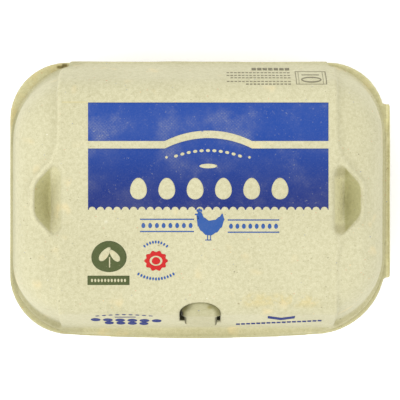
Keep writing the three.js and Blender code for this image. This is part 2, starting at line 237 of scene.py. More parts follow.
class NodeDesk:
    """Lays out one material's nodes on the piece's own Object coordinates."""

    def __init__(self, name: str) -> None:
        """Starts an empty material with its shader, its output and the three axes.

        Args:
            name: The material's name.
        """
        self.material = bpy.data.materials.new(name)
        self.material.use_nodes = True
        self.tree = self.material.node_tree
        self.tree.nodes.clear()
        self.shader = self.tree.nodes.new("ShaderNodeBsdfPrincipled")
        output = self.tree.nodes.new("ShaderNodeOutputMaterial")
        self.tree.links.new(self.shader.outputs[0], output.inputs[0])
        self.place = self.tree.nodes.new("ShaderNodeTexCoord").outputs["Object"]
        split = self.tree.nodes.new("ShaderNodeSeparateXYZ")
        self.tree.links.new(self.place, split.inputs[0])
        self.axes = tuple(split.outputs)

    def put(self, socket: bpy.types.NodeSocket, value: object) -> None:
        """Links a socket to another node's output, or sets it to a number or a colour."""
        if isinstance(value, bpy.types.NodeSocket):
            self.tree.links.new(value, socket)
        elif isinstance(value, tuple):
            socket.default_value = (*value, 1.0)
        else:
            socket.default_value = value

    def math(self, kind: str, first: object, second: object = 0.0) -> object:
        """The output of a math node on two values."""
        node = self.tree.nodes.new("ShaderNodeMath")
        node.operation = kind
        self.put(node.inputs[0], first)
        self.put(node.inputs[1], second)
        return node.outputs[0]

    def times(self, first: object, *others: object) -> object:
        """The product of values."""
        for other in others:
            first = self.math("MULTIPLY", first, other)
        return first

    def blend(self, first: tuple[object, float], *others: tuple[object, float]) -> object:
        """The sum of values, each by its own share."""
        total = self.times(*first)
        for other in others:
            total = self.math("ADD", total, self.times(*other))
        return total

    def mix(self, share: object, first: object, second: object, blend: str = "MIX") -> object:
        """The colour between two colours, by a share from 0 to 1."""
        node = self.tree.nodes.new("ShaderNodeMix")
        node.data_type = "RGBA"
        node.blend_type = blend
        self.put(node.inputs["Factor"], share)
        self.put(node.inputs["A"], first)
        self.put(node.inputs["B"], second)
        return node.outputs["Result"]

    def stretch(self, scale: Sequence[float], turn: float = 0.0, shift: float = 0.0) -> object:
        """Object coordinates scaled, turned about Z by degrees and shifted."""
        node = self.tree.nodes.new("ShaderNodeMapping")
        node.inputs["Rotation"].default_value = (0.0, 0.0, math.radians(turn))
        node.inputs["Scale"].default_value = tuple(scale)
        node.inputs["Location"].default_value = (shift, shift, shift)
        self.tree.links.new(self.place, node.inputs["Vector"])
        return node.outputs[0]

    def noise(self, scale: float, detail: float = 3.0, rough: float = 0.55, at: object = None) -> object:
        """A noise value around one half, with features of 1/scale metres."""
        node = self.tree.nodes.new("ShaderNodeTexNoise")
        node.inputs["Scale"].default_value = scale
        node.inputs["Detail"].default_value = detail
        node.inputs["Roughness"].default_value = rough
        self.tree.links.new(self.place if at is None else at, node.inputs["Vector"])
        return node.outputs["Fac"]

    def cells(self, scale: float, at: object = None) -> tuple[object, object]:
        """The distance to the nearest of scattered points, and that point's random colour."""
        node = self.tree.nodes.new("ShaderNodeTexVoronoi")
        node.inputs["Scale"].default_value = scale
        self.tree.links.new(self.place if at is None else at, node.inputs["Vector"])
        return node.outputs["Distance"], node.outputs["Color"]

    def value_of(self, name: str) -> object:
        """The value that the mesh holds under a name."""
        node = self.tree.nodes.new("ShaderNodeAttribute")
        node.attribute_name = name
        return node.outputs["Fac"]

    def wire(self, scale: float) -> object:
        """The crossed marks of the forming wire, from 0 to 1."""
        marks = []
        for turn in (45.0, -45.0):
            node = self.tree.nodes.new("ShaderNodeTexWave")
            node.inputs["Scale"].default_value = scale
            node.inputs["Distortion"].default_value = 0.6
            self.tree.links.new(self.stretch((1, 1, 1), turn), node.inputs["Vector"])
            marks.append(node.outputs["Fac"])
        return self.times(*marks)

    def spread(self, value: object, low: float, high: float) -> object:
        """A value stretched so that low gives 0 and high gives 1, held between them."""
        node = self.tree.nodes.new("ShaderNodeMapRange")
        node.interpolation_type = "SMOOTHSTEP"
        self.put(node.inputs["Value"], value)
        node.inputs["From Min"].default_value = low
        node.inputs["From Max"].default_value = high
        return node.outputs["Result"]

    def steps(self, value: object, stops: Sequence[tuple[float, Colour]]) -> object:
        """A colour picked from flat steps by a value from 0 to 1."""
        node = self.tree.nodes.new("ShaderNodeValToRGB")
        node.color_ramp.interpolation = "CONSTANT"
        elements = node.color_ramp.elements
        for _ in range(len(stops) - len(elements)):
            elements.new(1.0)
        for element, (position, colour) in zip(elements, stops):
            element.position = position
            element.color = (*colour, 1.0)
        self.put(node.inputs[0], value)
        return node.outputs[0]

    def bump(self, height: object, depth: float, strength: float) -> object:
        """A bumped normal from a height from 0 to 1, as deep as depth in metres."""
        node = self.tree.nodes.new("ShaderNodeBump")
        node.inputs["Strength"].default_value = strength
        node.inputs["Distance"].default_value = depth
        self.tree.links.new(height, node.inputs["Height"])
        return node.outputs[0]


@dataclass(frozen=True)
class Tint:
    """A soft-edged box of space, in millimetres, in which the pulp's colour is multiplied, for painted
    shade and painted light and for real stains.

    Attributes:
        colour: What the pulp's colour is multiplied by.
        across: The reach from the middle, along X.
        deep: The reach along Y.
        high: The reach along Z.
        soft: How far the edges fade.
        side: The end of the carton that it lies at.
        share: How much of the tint is used.
        middle: The X place that the reach across is taken from, which is the body's own.
        patchy: Whether the tint comes and goes like a stain.
        path: The name of a distance that the mesh holds, such as from a crease.
        bounds: Pairs of that distance, where the tint ends and where it is full.
    """

    colour: Colour
    across: Point = ALL
    deep: Point = ALL
    high: Point = ALL
    soft: float = 0.8
    side: Side = Side.BOTH
    share: float = 1.0
    middle: float = -0.9
    patchy: bool = False
    path: str = ""
    bounds: tuple[Point, ...] = ()

    def mask(self, desk: NodeDesk) -> object:
        """Where the tint lies, from 0 to 1.

        Args:
            desk: The material's nodes.

        Returns:
            The mask's output socket.
        """
        place_x, place_y, place_z = desk.axes
        across = desk.math("SUBTRACT", place_x, self.middle * MM)
        across = desk.times(across, float(self.side)) if self.side else desk.math("ABSOLUTE", across)
        soft = self.soft * MM
        factors = []
        if self.patchy:
            factors.append(desk.spread(desk.noise(140.0, 4.0, 0.7), 0.42, 0.62))
        for value, (low, high) in ((across, self.across), (place_y, self.deep), (place_z, self.high)):
            if low > -FAR:
                factors.append(desk.spread(value, low * MM - soft, low * MM + soft))
            if high < FAR:
                factors.append(desk.spread(value, high * MM + soft, high * MM - soft))
        for none_at, full_at in self.bounds:
            factors.append(desk.spread(desk.value_of(self.path), none_at * MM, full_at * MM))
        return desk.times(self.share, *factors)


@dataclass(frozen=True)
class PulpFinish:
    """Moulded grey-cream pulp: cloudy tone, matted fibres, wire marks and stray flecks.

    Attributes:
        name: The material's name.
        light: Linear colour of the paler pulp.
        dark: Linear colour of the darker pulp.
        mottle: Share of the dark colour at the strongest.
        flecks: Whether stray flecks of old print show.
        relief: Depth of the matted surface.
        wire: How close the forming wire's marks lie, per metre.
        tints: Places where the pulp's colour is multiplied: painted shade, painted light and real stains.
    """

    name: str
    light: Colour = (0.545, 0.520, 0.345)
    dark: Colour = (0.325, 0.302, 0.168)
    mottle: float = 0.75
    flecks: bool = True
    relief: float = 0.16 * MM
    wire: float = 345.0
    tints: tuple[Tint, ...] = ()

    def tone(self, desk: NodeDesk) -> object:
        """The pulp's colour, from cloudy to fibre by fibre.

        Args:
            desk: The material's nodes.

        Returns:
            The colour's output socket.
        """
        clouds = desk.spread(desk.noise(38.0, 3.0), 0.3, 0.72)
        mottle = desk.spread(desk.noise(690.0, 4.0, 0.68), 0.33, 0.7)
        grain = desk.spread(desk.noise(2300.0, 2.0, 0.6), 0.3, 0.75)
        share = desk.blend((clouds, 0.17), (mottle, 0.42), (grain, 0.38))
        colour = desk.mix(desk.times(share, self.mottle), self.light, self.dark)
        warm = desk.spread(desk.noise(95.0, 2.0, 0.5, desk.stretch((1, 1, 1), 0.0, 0.7)), 0.62, 0.8)
        colour = desk.mix(desk.times(warm, 0.35), colour, (0.72, 0.56, 0.28))
        for turn, shade in ((28.0, (0.70, 0.68, 0.50)), (-52.0, (0.28, 0.25, 0.13))):
            strand = desk.noise(620.0, 2.0, 0.5, desk.stretch((1.0, 4.0, 1.0), turn, turn * 0.01))
            colour = desk.mix(desk.times(desk.spread(strand, 0.62, 0.74), 0.16), colour, shade)
        return colour

    def stray(self, desk: NodeDesk, colour: object) -> object:
        """Adds sparse flecks of brown, blue, red, orange and white from the paper that was pulped."""
        tints = (
            (0.0, (0.10, 0.08, 0.05)),
            (0.34, (0.25, 0.20, 0.11)),
            (0.58, (0.10, 0.13, 0.30)),
            (0.68, (0.55, 0.12, 0.08)),
            (0.80, (0.75, 0.40, 0.15)),
            (0.90, (0.88, 0.88, 0.82)),
        )
        for scale, size, strength in ((105.0, 0.045, 0.7), (190.0, 0.06, 0.6), (420.0, 0.10, 0.45)):
            bend = desk.noise(900.0, 2.0, 0.6)
            distance, pick = desk.cells(scale, desk.stretch((1.0, 1.35, 1.1), 20.0, scale * 0.01))
            distance = desk.math("ADD", distance, desk.times(bend, 0.08))
            near = desk.spread(distance, size + 0.05, size + 0.02)
            colour = desk.mix(desk.times(near, strength), colour, desk.steps(pick, tints))
        return colour

    def relief_of(self, desk: NodeDesk) -> object:
        """The matted surface, with the faint marks of the forming wire."""
        wire = desk.wire(self.wire)
        coarse = desk.noise(520.0, 4.0, 0.65)
        fine = desk.noise(2600.0, 3.0, 0.65)
        return desk.bump(desk.blend((coarse, 0.6), (fine, 0.3), (wire, 0.12)), self.relief, 0.55)

    def make(self) -> bpy.types.Material:
        """Builds the pulp's material.

        Returns:
            The material.
        """
        desk = NodeDesk(self.name)
        colour = self.tone(desk)
        if self.flecks:
            colour = self.stray(desk, colour)
        # Multiply in the tints: painted shade and painted light, and real stains.
        for tint in self.tints:
            colour = desk.mix(tint.mask(desk), colour, desk.mix(1.0, colour, tint.colour, "MULTIPLY"))
        desk.put(desk.shader.inputs["Base Color"], colour)
        desk.put(desk.shader.inputs["Roughness"], desk.spread(desk.noise(700.0), -1.9, 0.9))
        desk.shader.inputs["Specular IOR Level"].default_value = 0.18
        desk.shader.inputs["Sheen Weight"].default_value = 0.08
        desk.shader.inputs["Sheen Roughness"].default_value = 0.6
        desk.put(desk.shader.inputs["Normal"], self.relief_of(desk))
        return desk.material


@dataclass(frozen=True)
class InkFinish:
    """Flat printing ink on pulp: uneven cover, pale scuffs and the pulp's own relief.

    Attributes:
        name: The material's name.
        near: Linear colour of the ink towards the lock.
        far: Linear colour of the ink towards the hinge.
        span: The two Y places that the colours belong to.
        cloudy: The two Y places between which the clouds of bare pulp set in.
        wear: Share of bare flecks.
        haze: Share of pulp that shows through in clouds.
        pulp: The pulp under the ink.
    """

    name: str
    near: Colour
    far: Colour
    span: Point = (-6.0 * MM, 31.0 * MM)
    cloudy: Point = (-25.0 * MM, 26.0 * MM)
    wear: float = 0.35
    haze: float = 0.27
    pulp: PulpFinish = PulpFinish("pulp_under_ink")

    def haze_of(self, desk: NodeDesk) -> object:
        """The share of pulp that shows through in clouds, in the pattern of the forming wire.

        Args:
            desk: The material's nodes.

        Returns:
            The share's output socket.
        """
        cloud = desk.spread(desk.noise(58.0, 5.0, 0.66), 0.47, 0.72)
        back = desk.spread(desk.axes[1], *self.cloudy)
        mesh = desk.math("ADD", desk.times(desk.wire(self.pulp.wire), 0.7), 0.5)
        grain = desk.spread(desk.noise(1500.0, 3.0, 0.7), 0.1, 0.8)
        return desk.times(cloud, back, mesh, grain, self.haze)

    def make(self) -> bpy.types.Material:
        """Builds the ink's material.

        Returns:
            The material.
        """
        desk = NodeDesk(self.name)
        uneven = desk.spread(desk.noise(60.0, 4.0, 0.7), 0.32, 0.72)
        grain = desk.spread(desk.noise(1900.0, 2.0, 0.6), 0.4, 0.8)
        bare = desk.spread(desk.noise(1150.0, 3.0, 0.72), 0.645, 0.69)
        patch = desk.spread(desk.noise(130.0, 3.0, 0.6), 0.4, 0.62)
        colour = desk.mix(desk.spread(desk.axes[1], *self.span), self.near, self.far)
        for share in (desk.times(uneven, 0.025), desk.times(grain, 0.03), self.haze_of(desk),
                      desk.times(bare, patch, self.wear)):
            colour = desk.mix(share, colour, self.pulp.light)
        desk.put(desk.shader.inputs["Base Color"], colour)
        desk.put(desk.shader.inputs["Roughness"], desk.spread(desk.noise(700.0), -1.5, 1.0))
        desk.shader.inputs["Specular IOR Level"].default_value = 0.2
        desk.put(desk.shader.inputs["Normal"], self.pulp.relief_of(desk))
        return desk.material


@dataclass
class PulpForm:
    """A moulded part of the carton: the fixed solid's form with soft edges and an uneven skin.

    Attributes:
        node: The fixed model's node that the part stands for.
        slot: The name of the part's material slot; not used.
        finish: The pulp that it is made of.
        grain: The side of the cells that the skin is remade with.
        edge_rounds: Smoothing rounds on every edge.
        broad_rounds: Smoothing rounds on the broad faces.
        keep: The share of triangles kept at the end.
        swell: The height of the slow waves in the skin, and of the shorter ones as a share of it.
        waves: The length of the slow waves and of the shorter ones.
    """

    node: str
    slot: str
    finish: PulpFinish
    grain: float = 0.5 * MM
    edge_rounds: int = 3
    broad_rounds: int = 50
    keep: float = 0.4
    swell: Point = (0.35 * MM, 0.3)
    waves: Point = (26.0 * MM, 7.0 * MM)

    def is_broad(self, point: Vector) -> float:
        """How freely the skin may be smoothed at a point, from 0 to 1."""
        return 1.0

    def finish_form(self, piece: bpy.types.Object) -> None:
        """Adds what only one kind of part has; the plain part has nothing."""

    def tone_form(self, piece: bpy.types.Object) -> None:
        """Stores what the finish needs to know of the form; the plain part has nothing."""

    def wave(self, piece: bpy.types.Object, size: float, height: float) -> None:
        """Gives the skin slow waves.

        Args:
            piece: The part.
            size: The length of the waves.
            height: Their full height.
        """
        texture = bpy.data.textures.new(f"{self.node}_waves", "CLOUDS")
        texture.noise_scale = size
        texture.noise_depth = 1
        Bench.modify(piece, "DISPLACE", texture=texture, strength=height, mid_level=0.5,
                     texture_coords="LOCAL", direction="NORMAL")

    def build(self) -> bpy.types.Object:
        """Makes the part from a merged copy of its solid.

        Returns:
            The dressed part.
        """
        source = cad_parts[self.node]
        name = f"{self.node}_pulp"
        piece = bpy.data.objects.new(name, source.data.copy())
        bpy.context.scene.collection.objects.link(piece)
        Bench.edit(piece, bpy.ops.mesh.remove_doubles, threshold=WELD)
        piece.data.materials.clear()
        Bench.modify(piece, "REMESH", mode="VOXEL", voxel_size=self.grain, use_smooth_shade=True)
        Bench.modify(piece, "SMOOTH", factor=0.5, iterations=self.edge_rounds)
        broad = Bench.weigh(piece, "broad", self.is_broad)
        Bench.modify(piece, "SMOOTH", factor=0.5, iterations=self.broad_rounds, vertex_group=broad)
        self.finish_form(piece)
        height, share = self.swell
        if height:
            self.wave(piece, self.waves[0], height)
            self.wave(piece, self.waves[1], height * share)
        Bench.modify(piece, "DECIMATE", decimate_type="COLLAPSE", ratio=self.keep)
        Bench.smooth(piece)
        piece.vertex_groups.clear()
        self.tone_form(piece)
        piece.data.materials.append(self.finish.make())
        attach(piece, "root")
        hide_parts(self.node)
        LOG.info("%s: %d faces", name, len(piece.data.polygons))
        return piece


def blend_min(first: float, second: float, turn: float) -> float:
    """The smaller of two values, blended where they are closer than turn."""
    near = max(turn - abs(first - second), 0.0) / turn
    return min(first, second) - near ** 3 * turn / 6


@dataclass(frozen=True)
class LidEnd:
    """The lines at each end of the lid: the dimple's mouth, and the crease that wraps round it.

    Attributes:
        reach: How far out the mouth's straight outer edge lies.
        flat: Half the length of that edge.
        tip: How far out the mouth's tips lie.
        half_width: Half the distance between the tips.
        crease: How far out the panel's crease runs.
        collar: How far off the mouth the crease wraps it.
        turn: How softly the mouth's corners turn.
        sweep: How softly the crease leaves its line for the mouth.
    """

    reach: float = 63.4 * MM
    flat: float = 5.9 * MM
    tip: float = 55.8 * MM
    half_width: float = 13.9 * MM
    crease: float = 54.35 * MM
    collar: float = 1.9 * MM
    turn: float = 3.0 * MM
    sweep: float = 9.0 * MM

    def mouth(self, point: Vector) -> float:
        """How far a point lies outside the dimple's mouth."""
        out, along = self.half_width - self.flat, self.reach - self.tip
        length = math.hypot(out, along)
        beyond = abs(point.x + BODY_SHIFT) - self.reach
        slanted = (beyond * out + (abs(point.y) - self.flat) * along) / length
        return -blend_min(-beyond, -slanted, self.turn)

    def fold(self, point: Vector) -> float:
        """How far a point lies outside the crease and its wrap."""
        beyond = abs(point.x + BODY_SHIFT) - self.crease
        return blend_min(beyond, self.mouth(point) - self.collar, self.sweep)


@dataclass
class LidForm(PulpForm):
    """The lid, whose dimples, rim and lock hole stay crisp while its shoulders are smooth.

    Attributes:
        end: The lines at each end.
        rim_top: The top of the rim.
        dimples: The height above which a dimple lies, and how far within its tips it reaches.
        lock: The reach of the lock's hole across, and its back edge.
        fade: How far from the rim and the lock the skin grows free.
        crease_guard: How near the crease the skin is held, and from where it is free.
        mouth_guard: The same for the dimple's mouth.
        least: The freedom at the crease, and inside the dimple.
        bead: How far inside the crease the bead runs, its half width and its height.
        bead_height: The heights at which the bead starts and is full.
        bead_depth: The Y places at which it starts to grow and is full.
        bead_share: Its share towards the lock, and at the right end.
    """

    end: LidEnd = LidEnd()
    rim_top: float = 36.4 * MM
    dimples: Point = (50.0 * MM, 3.0 * MM)
    lock: Point = (10.5 * MM, -36.5 * MM)
    fade: float = 1.5 * MM
    crease_guard: Point = (1.0 * MM, 2.6 * MM)
    mouth_guard: Point = (0.7 * MM, 2.2 * MM)
    least: Point = (0.3, 0.4)
    bead: tuple[float, float, float] = (0.9 * MM, 0.8 * MM, 0.3 * MM)
    bead_height: Point = (45.0 * MM, 55.0 * MM)
    bead_depth: Point = (-10.0 * MM, 15.0 * MM)
    bead_share: Point = (0.4, 0.6)

    def is_broad(self, point: Vector) -> float:
        """How freely the lid's skin may be smoothed at a point, from 0 to 1."""
        at_crease, in_dimple = self.least
        mouth = self.end.mouth(point)
        free = at_crease + (1 - at_crease) * ramp(abs(self.end.fold(point)), *self.crease_guard)
        free *= ramp(point.z, self.rim_top, self.rim_top + self.fade)
        if point.z > self.dimples[0] and abs(point.x + BODY_SHIFT) > self.end.tip - self.dimples[1]:
            free *= ramp(abs(mouth), *self.mouth_guard) * (in_dimple if mouth < 0 else 1.0)
        near_lock = max(abs(point.x) - self.lock[0], point.y - self.lock[1])
        return free * ramp(near_lock, 0.0, self.fade)

    def is_bead(self, point: Vector) -> float:
        """How far the rounded bead inside each crease stands out at a point, from 0 to 1."""
        if point.z < self.bead_height[0]:
            return 0.0
        inside, half, _ = self.bead
        at_lock, at_right = self.bead_share
        share = at_lock + (1 - at_lock) * ramp(point.y, *self.bead_depth)
        if point.x >= 0:
            share *= at_right
        section = math.exp(-((self.end.fold(point) + inside) / half) ** 2)
        return share * section * ramp(point.z, *self.bead_height)

    def finish_form(self, piece: bpy.types.Object) -> None:
        """Raises the bead along each crease and round each dimple."""
        group = Bench.weigh(piece, "bead", self.is_bead)
        Bench.modify(piece, "DISPLACE", strength=self.bead[2], mid_level=0.0, vertex_group=group)

    def tone_form(self, piece: bpy.types.Object) -> None:
        """Stores how far each point lies from the mouth and from the crease, which the painted shade and
        highlight follow.
        """
        Bench.store(piece, "mouth", self.end.mouth)
        Bench.store(piece, "fold", self.end.fold)


@dataclass
class TrayForm(PulpForm):
    """The tray, whose rim and torn strip stay crisp while its cups are smooth.

    Attributes:
        rim_low: The underside of the rim.
        fade: How far under the rim the skin grows free.
        foot: The heights at which the skin over the foot starts to be free and is free.
    """

    rim_low: float = 30.2 * MM
    fade: float = 1.5 * MM
    foot: Point = (0.2 * MM, 1.2 * MM)

    def is_broad(self, point: Vector) -> float:
        """How freely the tray's skin may be smoothed at a point, from 0 to 1."""
        return ramp(point.z, self.rim_low, self.rim_low - self.fade) * ramp(point.z, *self.foot)


@dataclass
class ButtonForm(PulpForm):
    """The lock's button, pressed so far into the lid that its head all but closes the hole.

    Attributes:
        press: How far its skin is grown along the arch, and the share of that elsewhere.
        half: Half the width of the hole.
        spring: Where the hole's arch starts.
        arch: How far the arch rises towards the hinge.
        ease: How far from the arch's start the growth is full.
    """

    press: Point = (0.8 * MM, 0.6)
    half: float = 7.9 * MM
    spring: float = -43.8 * MM
    arch: float = 4.2 * MM
    ease: float = 2.2 * MM

    def edge(self, point: Vector) -> float:
        """How far a point lies inside the hole's edge, as it is seen from above."""
        rise = max(point.y - self.spring, 0.0)
        across, along = point.x / self.half, rise / self.arch
        reach = max(math.hypot(across, along), 0.01)
        slope = max(math.hypot(across / self.half, along / self.arch) / reach, 1 / self.half)
        return (1 - reach) / slope

    def is_pressed(self, point: Vector) -> float:
        """How much of the growth a point takes, from 0 to 1."""
        share = self.press[1]
        return share + (1 - share) * ramp(point.y, self.spring, self.spring + self.ease)

    def finish_form(self, piece: bpy.types.Object) -> None:
        """Grows the button's skin towards the edge of its hole."""
        group = Bench.weigh(piece, "pressed", self.is_pressed)
        Bench.modify(piece, "DISPLACE", strength=self.press[0], mid_level=0.0, vertex_group=group)

    def tone_form(self, piece: bpy.types.Object) -> None:
        """Stores how far each point lies inside the hole's edge, which the painted shade round the head
        follows.
        """
        Bench.store(piece, "edge", self.edge)


@dataclass(frozen=True)
class Shape:
    """A flat shape of ink as a grid of cells, drawn in the photograph's pixels.

    Attributes:
        chart: Gives the pixel for a place across and along the grid, each from 0 to 1.
        columns: Cells across.
        rows: Cells along.
        closed: Whether the last column meets the first.
    """

    chart: Callable[[float, float], Point]
    columns: int = 8
    rows: int = 8
    closed: bool = False

    def draw(self, facing: Facing) -> bpy.types.Object:
        """Models the shape as a grid above the lid.

        Args:
            facing: The side of the lid that it will lie on.

        Returns:
            The flat shape, high over the lid.
        """
        Bench.clear()
        bpy.ops.mesh.primitive_grid_add(x_subdivisions=self.columns, y_subdivisions=self.rows, size=1.0)
        piece = bpy.context.object
        for vertex in piece.data.vertices:
            px, py = self.chart(vertex.co.x + 0.5, vertex.co.y + 0.5)
            spot = VIEW.place(px, py, facing.value)
            vertex.co = (spot.x, spot.y, DRAWING_HEIGHT)
        if self.closed:
            Bench.edit(piece, bpy.ops.mesh.remove_doubles, threshold=WELD)
        return piece


def band(left: float, right: float, top: Callable[[float], float], bottom: Callable[[float], float],
         columns: int = 40, rows: int = 10) -> Shape:
    """A band of ink between two curves, each a pixel row for a pixel column."""

    def chart(across: float, along: float) -> Point:
        """The band's pixel at a place on its grid."""
        px = left + (right - left) * across
        return px, bottom(px) + (top(px) - bottom(px)) * along

    return Shape(chart, columns, rows)


def bar(left: float, top: float, right: float, bottom: float) -> Shape:
    """A plain bar of ink."""
    columns = max(int((right - left) / 3), 1)
    rows = max(int((bottom - top) / 2), 1)
    return band(left, right, lambda px: top, lambda px: bottom, columns, rows)


def egg(px: float, py: float, half_width: float, half_height: float, taper: float = 0.14,
        turn: float = 0.0, cells: int = 8) -> Shape:
    """An egg-shaped or oval spot of ink, blunt end down, turned by degrees."""
    cosine, sine = math.cos(math.radians(turn)), math.sin(math.radians(turn))

    def chart(across: float, along: float) -> Point:
        """The egg's pixel at a place on its grid, which a disc's mapping rounds off."""
        u, v = across * 2 - 1, along * 2 - 1
        x = u * math.sqrt(1 - v * v / 2)
        y = v * math.sqrt(1 - u * u / 2)
        x *= 1 - taper * y
        x, y = x * half_width, y * half_height
        return px + x * cosine + y * sine, py - (y * cosine - x * sine)

    return Shape(chart, cells, cells)


def row(count: int, px: float, py: float, pitch: float, half_width: float, half_height: float,
        taper: float = 0.0, cells: int = 4, drop: float = 0.0) -> list[Shape]:
    """A row of like ovals, pitch pixels apart, each drop pixels lower than the last."""
    return [egg(px + pitch * index, py + drop * index, half_width, half_height, taper, 0.0, cells)
            for index in range(count)]


def ring(px: float, py: float, half_width: float, half_height: float, width: float,
         petals: int = 0, depth: float = 0.0, sides: int = 48) -> Shape:
    """A ring of ink, or a petalled one, whose band is width pixels across."""

    def chart(across: float, along: float) -> Point:
        """The ring's pixel at an angle and a place across its band."""
        angle = across * math.tau
        swing = 1 + depth * math.cos(petals * angle) * along
        wide = (half_width - width * (1 - along)) * swing
        high = (half_height - width * (1 - along)) * swing
        return px + wide * math.cos(angle), py - high * math.sin(angle)

    return Shape(chart, sides, 3, closed=True)


def arc_row(count: int, left: float, right: float, base: float, rise: float,
            half_width: float, half_height: float) -> list[Shape]:
    """A row of small ovals along a shallow arch, each turned to follow it."""
    shapes = []
    for index in range(count):
        along = index / (count - 1)
        px = left + (right - left) * along
        swing = along * 2 - 1
        py = base - rise * (1 - swing * swing)
        slope = math.degrees(math.atan2(-4 * rise * swing, right - left))
        shapes.append(egg(px, py, half_width, half_height, 0.0, -slope, 4))
    return shapes


@dataclass
class Print:
    """One ink's shapes on one side of the lid, laid onto the pulp as a thin film.

    Attributes:
        name: The piece's name.
        slot: The name of the print's material slot; not used.
        finish: The ink.
        shapes: What is printed.
        facing: The side of the lid.
        layer: How far over the pulp the film lies.
        film: How thick the film is.
    """

    name: str
    slot: str
    finish: bpy.types.Material
    shapes: Sequence[Shape]
    facing: Facing = Facing.PANEL
    layer: Layer = Layer.FIRST
    film: float = 0.03 * MM

    def lay(self, lid: bpy.types.Object) -> bpy.types.Object:
        """Draws the shapes and presses them onto the lid.

        Args:
            lid: The finished lid.

        Returns:
            The print.
        """
        drawn = [shape.draw(self.facing) for shape in self.shapes]
        piece = Bench.join(drawn, self.name)
        Bench.edit(piece, bpy.ops.mesh.normals_make_consistent, inside=False)
        Bench.modify(piece, "SHRINKWRAP", target=lid, wrap_method="PROJECT", use_project_z=True,
                     use_negative_direction=True, use_positive_direction=False)
        Bench.modify(piece, "SHRINKWRAP", target=lid, wrap_method="NEAREST_SURFACEPOINT",
                     wrap_mode="ABOVE_SURFACE", offset=self.layer.value)
        Bench.modify(piece, "SOLIDIFY", thickness=self.film, offset=-1.0)
        Bench.smooth(piece)
        piece.data.materials.clear()
        piece.data.materials.append(self.finish)
        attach(piece, "root")
        LOG.info("%s: %d faces", self.name, len(piece.data.polygons))
        return piece


